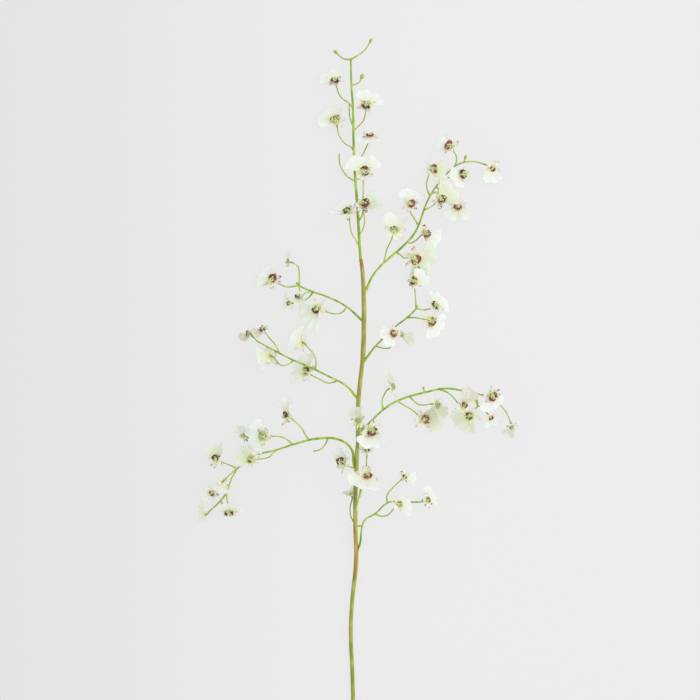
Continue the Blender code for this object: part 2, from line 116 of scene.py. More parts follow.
class Blossom(NamedTuple):
    """Bearings are degrees from +X towards +Y, and the stalk's points are mm from stem to blossom."""

    stem: str
    heart: tuple
    faces: tuple  # bearing of the way it faces, and how far that is tilted from straight up
    lip: float  # bearing of the lip
    size: float
    spread: float  # half angle of the lip's fan
    stalk: list


class Bud(NamedTuple):
    """A closed bud at the end of a stalk."""

    stem: str
    length: float
    radius: float
    stalk: list


# The middle line of each stem, as (x, y, z, radius) in mm
STEMS = {"main_stem": [
    (2, 0, 2.7, 2.7), (4, 107, 5, 2.6), (3, 146, 6, 2.6), (1, 199, 9, 2.6), (3, 239, 11, 2.6),
    (8, 291, 14, 2.9), (7, 337, 17, 2.8), (7, 376, 19, 2.8), (8, 404, 21, 2.9), (9, 430, 22, 2.9),
    (10, 446, 22, 2.1), (10, 459, 22, 2.4), (11, 500, 22, 2.9), (16, 549, 22, 2.7), (17, 562, 22, 3.2),
    (18, 591, 22, 3.0), (18, 630, 22, 3.0), (16, 669, 22, 2.6), (14, 683, 22, 2.2),
], "tip_stem": [
    (15, 676, 22, 1.9), (14, 683.4, 22, 1.9), (11, 727, 22, 1.8), (9, 760, 22, 1.8), (7, 786, 21, 1.7),
    (5, 825, 20, 1.6), (4, 877, 19, 1.5), (2, 910, 18, 1.3), (1, 944, 17, 1.2),
], "right_branch_1": [
    (18, 638, 22, 1.9), (21.5, 644, 21, 1.8), (27, 657, 20, 1.3), (36, 670, 20, 1.3), (53, 686, 20, 1.4),
    (68, 699, 20, 1.4), (82, 714, 20, 1.4), (90, 729, 20, 1.3), (96, 747, 21, 1.2), (104, 765, 20, 1.1),
    (117, 784, 18, 1.0), (133, 801, 18, 1.0), (142, 807, 19, 1.0), (161, 810, 19, 0.9), (174, 807, 17, 0.9),
], "right_branch_2": [
    (17, 549, 22, 1.9), (21, 554, 21, 1.7), (29, 565, 20, 1.2), (42, 579, 18, 1.2), (60, 596, 17, 1.1),
    (74, 607, 18, 1.1), (86, 619, 20, 1.0), (88, 623, 20, 1.3),
], "right_branch_3": [
    (10, 456, 22, 1.6), (13.8, 459, 21, 1.5), (24, 469, 20, 1.2), (30, 475, 19, 1.2), (43, 487, 19, 1.3),
    (62, 499, 19, 1.4), (98, 510, 19, 1.3), (126, 515, 20, 1.3), (147, 512, 20, 1.2), (163, 509, 19, 1.0),
    (173, 506, 19, 0.9),
], "right_branch_4": [
    (9, 303, 16, 1.4), (12.3, 310, 16, 1.4), (16, 335, 16, 1.1), (19, 343, 16, 1.1), (33, 352, 16, 1.0),
    (49, 366, 17, 1.0), (60, 368, 17, 0.9), (78, 367, 16, 0.9), (91, 367, 16, 0.9),
], "left_branch_1": [
    (17.5, 602, 22, 1.8), (14, 605, 21, 1.7), (-4, 621, 20, 1.2), (-29, 634, 20, 1.2), (-49, 641, 20, 1.1),
    (-66, 649, 19, 1.0), (-70, 653, 19, 1.2),
], "left_branch_2": [
    (11, 501, 22, 1.8), (7.2, 505, 21, 1.7), (-3, 517, 20, 1.3), (-30, 532, 22, 1.3), (-57, 545, 24, 1.2),
    (-74, 552, 22, 1.1), (-92, 561, 20, 1.1), (-105, 568, 19, 1.0), (-120, 576, 17, 0.9),
], "left_branch_3": [
    (6, 410, 20, 1.6), (4.6, 419, 20, 1.7), (2, 436, 20, 1.5), (-13, 448, 20, 1.5), (-41, 450, 20, 1.5),
    (-71, 443, 20, 1.3), (-96, 435, 20, 1.2), (-122, 428, 18, 1.1), (-141, 416, 16, 1.0),
    (-153, 400, 15, 1.0), (-161, 379, 13, 1.0), (-173, 364, 13, 1.0), (-183, 355, 13, 0.9),
]}

# Each row: heart, faces, lip, size, spread and stalk. The rows are numbered from 1 all through
BLOSSOM_ROWS = {"tip_stem": [
    ((-20, 918, 21), (90, 38), 125, 1.0, 70, [(3, 881, 19), (-3, 887, 20), (-8, 890, 22), (-13, 895, 23)]),
    ((22, 884, 34), (90, 22), 68, 1.0, 70, [(5, 850, 19), (10, 855, 21), (17, 862, 23), (19, 867, 24)]),
    ((-19, 865, 21), (90, 30), 140, 1.1, 70,
     [(5, 824, 19), (1, 829, 20), (-5, 832, 21), (-10, 837, 21), (-14, 843, 22)]),
    ((26, 845, 26), (90, 60), 270, 0.95, 78, [(5, 806, 20), (14, 815, 20), (21, 828, 20)]),
    ((17, 796, 46), (93, 22), 93, 1.2, 72, [(11, 731, 22), (16, 741, 26), (17, 759, 29), (17, 774, 33)]),
    ((-4, 746, 34), (106, 50), 165, 1.1, 50, [(12, 699, 22), (8, 707, 22), (4, 713, 23), (1, 721, 25)]),
    ((18, 755, 42), (90, 45), 8, 1.15, 55, [(11, 710, 22), (14, 717, 25), (17, 722, 28), (19, 731, 31)]),
], "right_branch_1": [
    ((58, 721, 34), (73, 20), 90, 1.2, 35, [(44, 678, 20), (46, 688, 21), (48, 696, 22), (52, 704, 23)]),
    ((78, 756, 30), (74, 20), 80, 1.0, 62, [(88, 728, 20), (83, 737, 21), (79, 743, 21)]),
    ((108, 799, 38), (37, 30), 345, 1.1, 60, [(104, 765, 20), (100, 774, 24), (99, 780, 25), (101, 788, 27)]),
    ((128, 830, 32), (133, 45), 175, 1.0, 55, [(135, 802, 18), (138, 809, 22), (138, 816, 23)]),
    ((148, 793, 26), (0, 25), 215, 0.9, 60, [(115, 783, 17), (126, 789, 16), (135, 790, 16)]),
    ((186, 800, 24), (325, 25), 265, 0.95, 50, [(174, 807, 17)]),
    ((118, 761, 42), (45, 22), 35, 1.2, 52, [(96, 747, 21), (100, 748, 26), (106, 751, 29)]),
    ((141, 753, 14), (90, 20), 265, 1.05, 60, [(112, 778, 18), (119, 771, 10), (130, 763, 5)]),
    ((100, 717, 26), (30, 35), 313, 1.1, 50, [(74, 706, 20), (78, 704, 19), (82, 705, 19)]),
    ((85, 682, 36), (290, 20), 335, 1.3, 75, [(60, 692, 20), (66, 688, 23), (71, 684, 26)]),
], "right_branch_2": [
    ((84, 654, 40), (80, 18), 30, 0.9, 50, [(86, 620, 20), (85, 634, 24), (84, 643, 27)]),
    ((113, 625, 20), (45, 38), 45, 1.0, 66, [(86, 619, 20), (91, 618, 20), (96, 617, 19), (101, 618, 19)]),
    ((106, 602, 38), (350, 28), 316, 1.1, 66, [(74, 607, 18), (84, 607, 24)]),
    ((57, 587, 42), (80, 35), 200, 0.9, 66, [(34, 570, 19), (40, 568, 21), (47, 567, 24), (53, 569, 28)]),
    ((67, 588, 27.5), (50, 70), 319, 1.1, 50, [(58, 594, 17), (57, 588, 19)]),
], "left_branch_1": [
    ((-82, 680, 28), (180, 70), 80, 0.75, 50, [(-66, 649, 19), (-66, 667, 21), (-68, 674, 22)]),
    ((-103, 657, 20), (142, 35), 152, 1.1, 62, [(-67, 649, 19), (-82, 647, 19)]),
    ((-66, 634, 38), (90, 50), 270, 0.65, 45, [(-49, 641, 20), (-58, 639, 24)]),
    ((-81, 626, 20), (180, 50), 150, 0.75, 60, [(-48, 640, 20), (-54, 633, 17), (-63, 628, 16)]),
    ((-45, 618, 36), (166, 30), 218, 1.3, 58, [(-4, 621, 20), (-10, 614, 22), (-21, 612, 24)]),
], "left_branch_2": [
    ((-131, 587, 24), (120, 50), 235, 0.7, 32, [(-120, 576, 17)]),
    ((-113, 593, 36), (105, 50), 225, 0.75, 32, [(-92, 561, 20), (-95, 569, 23), (-103, 579, 26)]),
    ((-108, 556, 11), (190, 130), 190, 1.15, 50, [(-73, 552, 22), (-79, 547, 20), (-89, 545, 21)]),
    ((-65, 577, 12), (150, 130), 150, 1.1, 66, [(-45, 540, 23), (-44, 550, 21), (-47, 559, 20)]),
    ((-60, 538, 18.3), (150, 40), 140, 1.15, 80,
     [(-17, 525, 21), (-22, 523, 15), (-29, 522, 12), (-40, 527, 9)]),
], "left_branch_3": [
    ((-84, 481, 26), (170, 60), 75, 1.05, 40, [(-53, 448, 20), (-58, 455, 21), (-63, 464, 21)]),
    ((-113, 453, 38), (185, 20), 180, 1.15, 76, [(-74, 442, 20), (-82, 449, 24), (-91, 453, 27)]),
    ((-140, 453, 20), (200, 40), 100, 0.7, 50, [(-115, 430, 19), (-125, 440, 15)]),
    ((-129, 424, 34), (165, 30), 155, 1.0, 42, [(-95, 435, 20), (-99, 432, 21), (-105, 426, 22)]),
    ((-175, 425, 26), (145, 35), 90, 1.0, 35, [(-146, 410, 16), (-156, 415, 18)]),
    ((-167, 392, 22), (220, 148), 250, 0.7, 60, [(-148, 409, 15), (-153, 406, 25)]),
    ((-181, 378, 16.5), (225, 30), 230, 0.85, 52, [(-157, 390, 14), (-167, 385, 11)]),
    ((-192, 351, 22), (190, 112), 130, 0.8, 60, [(-183, 355, 13)]),
    ((-157, 351, 16), (270, 50), 90, 0.95, 78, [(-161, 379, 13), (-160, 369, 15)]),
], "right_branch_3": [
    ((58, 518, 28), (10, 74), 90, 1.1, 60, [(43, 487, 19), (42, 500, 21), (46, 510, 23)]),
    ((98, 474, 20), (329, 18), 3, 1.15, 56, [(61, 499, 19), (72, 492, 16), (81, 487, 15)]),
    ((115, 495, 38), (10, 60), 285, 1.1, 50, [(78, 504, 19), (83, 499, 22), (90, 494, 26)]),
    ((148, 494, 44), (0, 40), 86, 1.15, 20, [(116, 514, 20), (128, 509, 27)]),
    ((155, 478, 17.5), (232, 25), 228, 1.2, 60, [(162, 509, 19), (166, 492, 15)]),
    ((185, 505, 32), (340, 35), 283, 1.1, 66, [(172, 506, 19)]),
    ((184, 476, 20), (309, 45), 275, 0.75, 55, [(162, 508, 19), (165, 495, 16), (171, 489, 14)]),
    ((211, 463, 18), (283, 45), 225, 0.7, 35, [(172, 507, 19), (188, 499, 15), (203, 485, 13)]),
], "main_stem": [
    ((9, 474, 38), (160, 35), 88, 0.95, 12, [(11, 462, 23), (18, 466, 27)]),
    ((28, 461, 38), (90, 20), 267, 1.15, 54, [(10, 456, 22), (20, 455, 25)]),
    ((22, 436, 20), (90, 62), 100, 0.8, 60, [(12, 374, 28), (18, 394, 22), (21, 410, 18)]),
    ((-11, 420, 32), (155, 45), 92, 1.05, 16, [(12, 374, 28), (14, 400, 29), (6, 411, 27)]),
    ((22, 405, 36), (80, 46), 232, 1.25, 76, [(8, 355, 20), (9, 363, 26), (12, 375, 28), (14, 383, 30)]),
    ((1, 379, 14), (110, 70), 150, 0.6, 50, [(6, 340, 17), (2, 346, 15), (0, 358, 13)]),
], "right_branch_4": [
    ((73, 402, 28), (48, 50), 330, 0.8, 42, [(49, 366, 17), (48, 375, 19), (52, 382, 20)]),
    ((103, 370, 19), (10, 45), 50, 0.9, 60, [(91, 367, 16)]),
    ((65, 367, 34), (45, 50), 345, 0.95, 65, [(32, 352, 16), (41, 349, 21), (49, 351, 24)]),
]}
BLOSSOMS = [Blossom(stem, *row) for stem, rows in BLOSSOM_ROWS.items() for row in rows]

# Small blossoms that the part joins to their stem's solid, by their number in the list
JOINED = (26, 35, 38, 40, 48, 52, 55)

# Blossoms by their number whose heart or print differs from most; the greener lips are painted shade
BOLD = (2, 7, 9, 11, 12, 18, 24, 25, 28, 29, 41, 47, 51, 53)  # a large heart; a small one is next
SLIGHT = (8, 13, 22, 23, 26, 27, 33, 35, 38, 39, 42, 44, 45, 46, 48, 49, 50, 52, 54, 55, 56, 57, 58)
TALL = (25, 33, 53)  # a heart that stands out further
CRIMSON = (3, 9, 10, 11, 15, 16, 17, 20, 21, 39, 43, 47, 54)  # a pinker crest
BROWN = (1, 2, 18, 23, 25, 27, 28, 29, 33, 41, 45, 46, 53, 56)  # a brown, darker crest
WASHED = (3, 8, 39, 57)  # a crest that is partly green and cream
FADED = (22, 23, 30, 31, 34, 35, 36, 38, 40, 42, 44, 50, 58)  # a crest that is mostly green and cream
SPOTTED = (1, 7, 14, 18, 23, 24, 28, 29, 33, 35, 49, 56, 57)  # darker tepals
SHADED_GREENER_LIPS = (7, 10, 14, 17, 22, 25, 28, 36, 37, 42, 43, 44, 46)  # a greener, darker lip: painted shade

STRONG = 0.85  # how far a mark changes the print of a blossom in these lists, and the painted shade of the greener lips
FULLY_SPOTTED = 1.3

# How much of the tepals' tan a lip has, where it has some
TAN = {28: 0.8, 29: 0.8, 35: 0.4, 38: 0.45, 40: 0.45, 44: 0.4, 45: 0.6, 49: 0.5, 50: 0.5, 55: 0.3}

# How far a heart is turned from its lip, in degrees, where it sits askew
ASKEW = {1: 150, 2: 170, 5: -80, 9: -100, 12: -20, 14: -75, 18: 120, 19: 165, 24: -90, 32: -100, 54: 60,
         56: -120}

BUDS = [
    Bud("tip_stem", 7.0, 2.2, [(1, 943, 17), (-8, 944, 17), (-13, 947, 17), (-16, 950, 17)]),
    Bud("tip_stem", 8.0, 2.0, [(1, 943, 17), (13, 950, 17), (18, 954, 17), (22, 959, 17), (25, 964, 17)]),
    Bud("tip_stem", 8.0, 2.9, [(2, 909, 18), (8, 911, 18), (12, 913, 18), (14, 917, 18)]),
    Bud("right_branch_1", 7.0, 1.9, [(148, 809, 19), (149, 812, 20)]),
    Bud("left_branch_3", 7.0, 1.6, [(-168, 369, 13), (-167, 366, 13)]),
    Bud("right_branch_3", 3.5, 1.6, [(97, 510, 19), (96, 514, 19)]),
]

# Bare stalks that carry nothing
SPURS = [
    ("tip_stem", [(3, 858, 19), (0, 867, 19), (-1, 879, 19), (-1, 886, 19)]),
    ("tip_stem", [(7, 784, 21), (-3, 790, 21), (-8, 796, 21), (-12, 803, 21), (-14, 812, 21),
                  (-14, 820, 21)]),
    ("left_branch_3", [(-29, 449, 20), (-33, 441, 19), (-38, 436, 18), (-48, 433, 17)]),
    ("left_branch_1", [(-66, 648, 19), (-65, 641, 19)]),
    ("right_branch_4", [(15, 336, 16), (9, 336, 16)]),
]

CUT_END = Vector((2, 0, 2.7))  # middle of the cut end, in mm
CAMERA_PLACE = (0, 565, 2150)
CAMERA_LENS = 84.3
CAMERA_NEAR = 0.05

# The studio, in metres
FLOOR_SIZE = 8
FLOOR_GREY = (94, 94, 94)
FLOOR_GLOW = (0.655, 0.718)  # to the left and to the right of the spray
FLOOR_FADE = (-0.55, 0.1)  # where along X the glow passes from one to the other
SKY_STRENGTH = 0.95
KEY_PLACE = (1.6, 0.7, 2.2)
KEY_SIZE = 2.4
KEY_POWER = 16


# ---- places and shapes


def row_frame_matrix():
    """Carries places in mm from the cut end to the row's frame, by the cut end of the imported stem."""
    points = np.array([vertex.co[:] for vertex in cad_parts["main_stem"].data.vertices])
    lowest = points[:, 1].min()
    end = points[points[:, 1] < lowest + 0.5 * MM]
    middle = Vector((end[:, 0].min() + end[:, 0].max(), 2 * lowest, end[:, 2].min() + end[:, 2].max())) / 2
    return Matrix.Translation(middle) @ Matrix.Scale(MM, 4) @ Matrix.Translation(-CUT_END)


to_row = row_frame_matrix()


def blossom_axes(blossom):
    """The way a blossom faces and the way its lip points, square to each other."""
    bearing, tilt = (radians(angle) for angle in blossom.faces)
    face = Vector((sin(tilt) * cos(bearing), sin(tilt) * sin(bearing), cos(tilt)))
    lip_bearing = radians(blossom.lip)
    level = Vector((cos(lip_bearing), sin(lip_bearing), 0))
    lip = (level - Vector((0, 0, level.dot(face) / face.z))).normalized()
    return face, lip


def blossom_base(blossom):
    """The middle of the blossom's base, behind its heart, in mm."""
    face, lip = blossom_axes(blossom)
    along_lip, along_face = HEART_AHEAD
    return Vector(blossom.heart) - (lip * along_lip + face * along_face) * blossom.size


def blossom_matrix(blossom):
    """Puts a blossom modelled in mm, facing +Z with its lip towards -Y, at its place in the row."""
    face, lip = blossom_axes(blossom)
    turn = Matrix((face.cross(lip), -lip, face)).transposed().to_4x4()
    return to_row @ Matrix.Translation(blossom_base(blossom)) @ turn @ Matrix.Scale(blossom.size, 4)


def new_object(name, data):
    """Links an object at the origin."""
    made = bpy.data.objects.new(name, data)
    bpy.context.scene.collection.objects.link(made)
    return made


def start_modelling():
    """Leaves edit mode with nothing selected."""
    if bpy.context.mode != "OBJECT":
        bpy.ops.object.mode_set(mode="OBJECT")
    bpy.ops.object.select_all(action="DESELECT")


def start_model(add_primitive, **settings):
    """A new primitive, in edit mode with all of it selected."""
    start_modelling()
    add_primitive(location=(0, 0, 0), **settings)
    bpy.ops.object.mode_set(mode="EDIT")
    return bpy.context.object


def take_mesh(piece):
    """Takes the mesh out of a finished model and removes its object."""
    start_modelling()
    mesh = piece.data
    bpy.data.objects.remove(piece)
    return mesh


def shift(x, y, z):
    """Moves what is selected."""
    bpy.ops.transform.translate(value=(x, y, z))


def stretch(x, y, z, about=(0, 0, 0)):
    """Stretches what is selected, away from a place."""
    bpy.ops.transform.resize(value=(x, y, z), center_override=about)


def select_all():
    """Selects all that is in edit mode."""
    bpy.ops.mesh.select_all(action="SELECT")


def select_where(rule):
    """Selects, in edit mode, the points whose place the rule accepts."""
    mesh = bmesh.from_edit_mesh(bpy.context.object.data)
    for point in mesh.verts:
        point.select = rule(point.co)
    mesh.select_flush(True)
    mesh.select_flush(False)
    bmesh.update_edit_mesh(bpy.context.object.data)


def points_of(mesh):
    """The mesh's points as an array."""
    flat = np.empty(len(mesh.vertices) * 3)
    mesh.vertices.foreach_get("co", flat)
    return flat.reshape(-1, 3)


def put_points(mesh, points):
    """Moves the mesh's points to the places in the array."""
    mesh.vertices.foreach_set("co", np.ascontiguousarray(points, dtype=np.float32).ravel())
    mesh.update()


def mark(mesh, name, values):
    """Writes a value for each point, or one for all, which a material reads by name."""
    layer = mesh.attributes.get(name) or mesh.attributes.new(name, "FLOAT", "POINT")
    each = np.broadcast_to(values, len(mesh.vertices))
    layer.data.foreach_set("value", np.ascontiguousarray(each, dtype=np.float32))


def marks(mesh, name):
    """Reads the values that mark wrote."""
    values = np.empty(len(mesh.vertices), dtype=np.float32)
    mesh.attributes[name].data.foreach_get("value", values)
    return values


def finish_mesh(piece, thickness=0.0):
    """Gives a sheet its thickness and rounds the piece, with the modifiers applied."""
    start_modelling()
    piece.select_set(True)
    bpy.context.view_layer.objects.active = piece
    if thickness:
        wall = piece.modifiers.new("thickness", "SOLIDIFY")
        wall.thickness = thickness
        wall.offset = 0
    rounding = piece.modifiers.new("rounding", "SUBSURF")
    rounding.levels = rounding.render_levels = 1
    for modifier in [item.name for item in piece.modifiers]:
        bpy.ops.object.modifier_apply(modifier=modifier)
    bpy.ops.object.shade_smooth()
    piece.select_set(False)


def add_piece(name, mesh, slot, *replaced):
    """Links a finished mesh as a piece that stands for CAD nodes and rides on the one body."""
    piece = new_object(name, mesh)
    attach(piece, "root")
    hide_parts(*replaced)
    return piece


# ---- materials


def plug(tree, socket, value):
    """Gives a socket its value, or links it to another node's socket."""
    if isinstance(value, bpy.types.NodeSocket):
        tree.links.new(value, socket)
    else:
        socket.default_value = value


def set_inputs(tree, node, **inputs):
    """Gives a node its inputs by their names, each a value or another node's socket."""
    for name, value in inputs.items():
        plug(tree, node.inputs[name.replace("_", " ")], value)


def new_material(name, specular=0.5, sheen=0.0):
    """A material with its node tree and its Principled shader."""
    material = bpy.data.materials.new(name)
    material.use_nodes = True
    tree = material.node_tree
    shader = tree.nodes["Principled BSDF"]
    set_inputs(tree, shader, Specular_IOR_Level=specular, Sheen_Weight=sheen)
    return material, tree, shader


def add_node(tree, kind, settings=None, **inputs):
    """A new shader node with its settings and its inputs."""
    node = tree.nodes.new("ShaderNode" + kind)
    for name, value in (settings or {}).items():
        setattr(node, name, value)
    set_inputs(tree, node, **inputs)
    return node


def linear(colour):
    """A linear colour from an sRGB one out of 255."""
    shares = [value / 255 for value in colour]
    lit = [share / 12.92 if share <= 0.04045 else ((share + 0.055) / 1.055) ** 2.4 for share in shares]
    return (*lit, 1)


def add_ramp(tree, factor, *stops):
    """A colour ramp: stops are (position, sRGB colour out of 255)."""
    ramp = add_node(tree, "ValToRGB", Fac=factor)
    elements = ramp.color_ramp.elements
    while len(elements) < len(stops):
        elements.new(0.5)
    for element, (position, colour) in zip(elements, stops):
        element.position = position
        element.color = linear(colour)
    return ramp.outputs["Color"]


def add_mix(tree, factor, first, second, blend="MIX"):
    """Mixes two colours, each a socket or an sRGB colour out of 255."""
    mix = add_node(tree, "Mix", {"data_type": "RGBA", "blend_type": blend})
    plug(tree, mix.inputs[0], factor)
    for socket, colour in ((mix.inputs[6], first), (mix.inputs[7], second)):
        plug(tree, socket, linear(colour) if isinstance(colour, tuple) else colour)
    return mix.outputs[2]


def add_value(tree, operation, *values):
    """A Math node's result."""
    node = add_node(tree, "Math", {"operation": operation})
    for socket, value in zip(node.inputs, values):
        plug(tree, socket, value)
    return node.outputs[0]


def add_range(tree, value, low, high, top=1.0, bottom=0.0, climb="LINEAR"):
    """A value that climbs from bottom at low to top at high."""
    limits = {"From_Min": low, "From_Max": high, "To_Min": bottom, "To_Max": top}
    return add_node(tree, "MapRange", {"interpolation_type": climb}, Value=value, **limits).outputs["Result"]


def read_mark(tree, name):
    """The value that mark wrote on the mesh."""
    return add_node(tree, "Attribute", {"attribute_name": name}).outputs["Fac"]


def object_places(tree):
    """Places on the piece in its own frame."""
    return add_node(tree, "TexCoord").outputs["Object"]


def new_group(name, inputs, outputs):
    """An empty node group with a Vector input, float inputs with their defaults and float outputs."""
    group = bpy.data.node_groups.new(name, "ShaderNodeTree")
    sockets = group.interface
    sockets.new_socket("Vector", in_out="INPUT", socket_type="NodeSocketVector")
    for label, default in inputs.items():
        sockets.new_socket(label, in_out="INPUT", socket_type="NodeSocketFloat").default_value = default
    for label in outputs:
        sockets.new_socket(label, in_out="OUTPUT", socket_type="NodeSocketFloat")
    return group, group.nodes.new("NodeGroupInput").outputs, group.nodes.new("NodeGroupOutput").inputs


def add_noise(tree, vector, scale, detail=2.0, kind="FBM"):
    """A noise texture's value."""
    settings = {"noise_type": kind}
    return add_node(tree, "TexNoise", settings, Vector=vector, Scale=scale, Detail=detail).outputs["Fac"]


def crinkle_group():
    """Crinkled cloth: long soft creases with fine grain between them."""
    group, given, made = new_group("crinkle", {"Scale": 300.0, "Grain": 0.3}, ("Height",))
    creases = add_noise(group, given["Vector"], given["Scale"], 3.0, "RIDGED_MULTIFRACTAL")
    grain = add_noise(group, given["Vector"], add_value(group, "MULTIPLY", given["Scale"], 6.0))
    fine = add_value(group, "MULTIPLY", grain, given["Grain"])
    group.links.new(add_value(group, "ADD", creases, fine), made["Height"])
    return group


def speckle_group():
    """Small uneven spots. Amount is the share of the surface that they cover."""
    group, given, made = new_group("speckle", {"Scale": 700.0, "Amount": 0.3}, ("Mask",))
    warp = add_node(group, "TexNoise", Vector=given["Vector"], Scale=900.0)
    shift = add_node(group, "VectorMath", {"operation": "SCALE"}, Scale=0.0012)
    group.links.new(warp.outputs["Color"], shift.inputs[0])
    place = add_node(group, "VectorMath", {"operation": "ADD"})
    group.links.new(given["Vector"], place.inputs[0])
    group.links.new(shift.outputs[0], place.inputs[1])
    spots = add_node(group, "TexVoronoi", Vector=place.outputs[0], Scale=given["Scale"])
    soft_edge = add_value(group, "MULTIPLY", given["Amount"], 0.55)
    mask = add_range(group, spots.outputs["Distance"], given["Amount"], soft_edge)
    group.links.new(mask, made["Mask"])
    return group


def mottle_group():
    """Cloudy unevenness from 0 to 1, stretched along Y as on drawn plastic."""
    group, given, made = new_group("mottle", {"Scale": 150.0, "Stretch": 1.0}, ("Value", "Streak"))
    squeeze = add_node(group, "CombineXYZ", X=1.0, Y=given["Stretch"], Z=1.0)
    place = add_node(group, "VectorMath", {"operation": "MULTIPLY"})
    group.links.new(given["Vector"], place.inputs[0])
    group.links.new(squeeze.outputs[0], place.inputs[1])
    streak_scale = add_value(group, "MULTIPLY", given["Scale"], 7.0)
    group.links.new(add_noise(group, place.outputs[0], given["Scale"], 4.0), made["Value"])
    group.links.new(add_noise(group, place.outputs[0], streak_scale), made["Streak"])
    return group


GROUPS = {"crinkle": crinkle_group(), "speckle": speckle_group(), "mottle": mottle_group()}


def use_group(tree, name, **values):
    """Places a group, reading the piece's own places."""
    settings = {"node_tree": GROUPS[name]}
    return add_node(tree, "Group", settings, Vector=object_places(tree), **values).outputs


def finish_shader(tree, shader, colour, rough, bump):
    """Links the colour, rough as (grain, its share, least) and bump as (height, distance, strength)."""
    height, distance, strength = bump
    normal = add_node(tree, "Bump", Height=height, Distance=distance, Strength=strength).outputs["Normal"]
    roughness = add_value(tree, "MULTIPLY_ADD", *rough)
    set_inputs(tree, shader, Base_Color=colour, Roughness=roughness, Normal=normal)


def lip_cloth():
    """Printed cloth of a lip: yellow round the heart, cream and then white outwards, with faint veins."""
    material, tree, shader = new_material("lip_cloth", specular=0.3, sheen=0.15)
    reach = read_mark(tree, "reach")
    mottle = use_group(tree, "mottle", Scale=120.0)
    uneven = add_value(tree, "MULTIPLY_ADD", mottle["Value"], 0.2, -0.1)
    place = add_value(tree, "ADD", reach, uneven)
    white = add_ramp(tree, place, (0.05, (240, 230, 148)), (0.2, (242, 240, 200)), (0.45, (237, 240, 228)),
                     (0.8, (240, 244, 243)))
    # Painted shade: a greener, darker copy of the print, for lips that lie in shade.
    green = add_ramp(tree, place, (0.04, (232, 228, 146)), (0.2, (228, 232, 180)), (0.55, (220, 228, 192)),
                     (0.95, (228, 234, 214)))
    printed = add_mix(tree, read_mark(tree, "green"), white, green)
    cloud = use_group(tree, "mottle", Scale=230.0)["Value"]
    cooled = add_value(tree, "MULTIPLY", add_range(tree, cloud, 0.5, 0.66, 0.7), reach)
    cloth = add_mix(tree, cooled, printed, (228, 238, 239))
    tanned = add_ramp(tree, cloud, (0.35, (202, 195, 168)), (0.5, (216, 210, 186)), (0.65, (228, 224, 206)))
    base = add_mix(tree, read_mark(tree, "tan"), cloth, tanned)
    round_heart = add_value(tree, "MULTIPLY", read_mark(tree, "turn"), 16.0)
    outwards = add_value(tree, "MULTIPLY", reach, 1.2)
    veins = add_node(tree, "CombineXYZ", X=round_heart, Y=outwards)
    vein = add_noise(tree, veins.outputs[0], 2.0, 3.0)
    veined = add_mix(tree, add_range(tree, vein, 0.45, 0.72, 0.3), base, (222, 228, 210), "MULTIPLY")
    spots = use_group(tree, "speckle", Scale=640.0, Amount=add_range(tree, reach, 0.3, 0.1, 0.34))
    colour = add_mix(tree, spots["Mask"], veined, (186, 128, 112))
    crease = use_group(tree, "crinkle", Scale=170.0, Grain=0.25)["Height"]
    height = add_value(tree, "ADD", crease, add_value(tree, "MULTIPLY", vein, 0.8))
    finish_shader(tree, shader, colour, (crease, 0.15, 0.6), (height, 0.0004, 0.4))
    return material


def tepal_cloth():
    """Cloth of the tepals: yellow cream at the heart, paler outwards, with pinkish-brown speckles."""
    material, tree, shader = new_material("tepal_cloth", specular=0.3, sheen=0.15)
    reach = read_mark(tree, "reach")
    base = add_ramp(tree, reach, (0.12, (237, 231, 162)), (0.34, (243, 241, 208)), (0.6, (241, 240, 228)),
                    (1.0, (228, 220, 206)))
    blotch = use_group(tree, "mottle", Scale=190.0)["Value"]
    outwards = add_value(tree, "MULTIPLY_ADD", reach, 0.75, 0.05)
    clumped = add_value(tree, "MULTIPLY", outwards, add_range(tree, blotch, 0.4, 0.6))
    amount = add_value(tree, "MULTIPLY", clumped, read_mark(tree, "spotted"))
    stained = add_mix(tree, add_value(tree, "MULTIPLY", amount, 0.9), base, (204, 190, 168))
    spots = use_group(tree, "speckle", Scale=480.0, Amount=amount)
    colour = add_mix(tree, spots["Mask"], stained, (130, 102, 84))
    crease = use_group(tree, "crinkle", Scale=260.0, Grain=0.3)["Height"]
    finish_shader(tree, shader, colour, (crease, 0.15, 0.6), (crease, 0.0003, 0.5))
    return material


def crest_cloth():
    """Burgundy crest with crimson blotches; some hearts are pinker and some fade to green and cream."""
    material, tree, shader = new_material("crest_burgundy")
    mottle = use_group(tree, "mottle", Scale=420.0)
    deep, brown, pink = [
        add_ramp(tree, mottle["Value"], *zip((0.36, 0.5, 0.62, 0.74), colours))
        for colours in (
            ((38, 8, 12), (88, 16, 28), (136, 38, 50), (200, 120, 114)),
            ((28, 10, 8), (68, 22, 20), (112, 46, 38), (190, 140, 108)),
            ((104, 18, 34), (156, 44, 62), (192, 90, 104), (232, 184, 170)),
        )
    ]
    darker = add_mix(tree, read_mark(tree, "brown"), deep, brown)
    printed = add_mix(tree, read_mark(tree, "pink"), darker, pink)
    blotch = use_group(tree, "mottle", Scale=210.0)["Value"]
    faded = read_mark(tree, "faded")
    patches = add_range(tree, add_value(tree, "MULTIPLY_ADD", faded, 0.16, blotch), 0.54, 0.6)
    pale = add_mix(tree, faded, (196, 222, 156), (176, 188, 128))
    colour = add_mix(tree, patches, printed, pale)
    streak = mottle["Streak"]
    finish_shader(tree, shader, colour, (streak, 0.3, 0.35), (streak, 0.0005, 0.6))
    return material


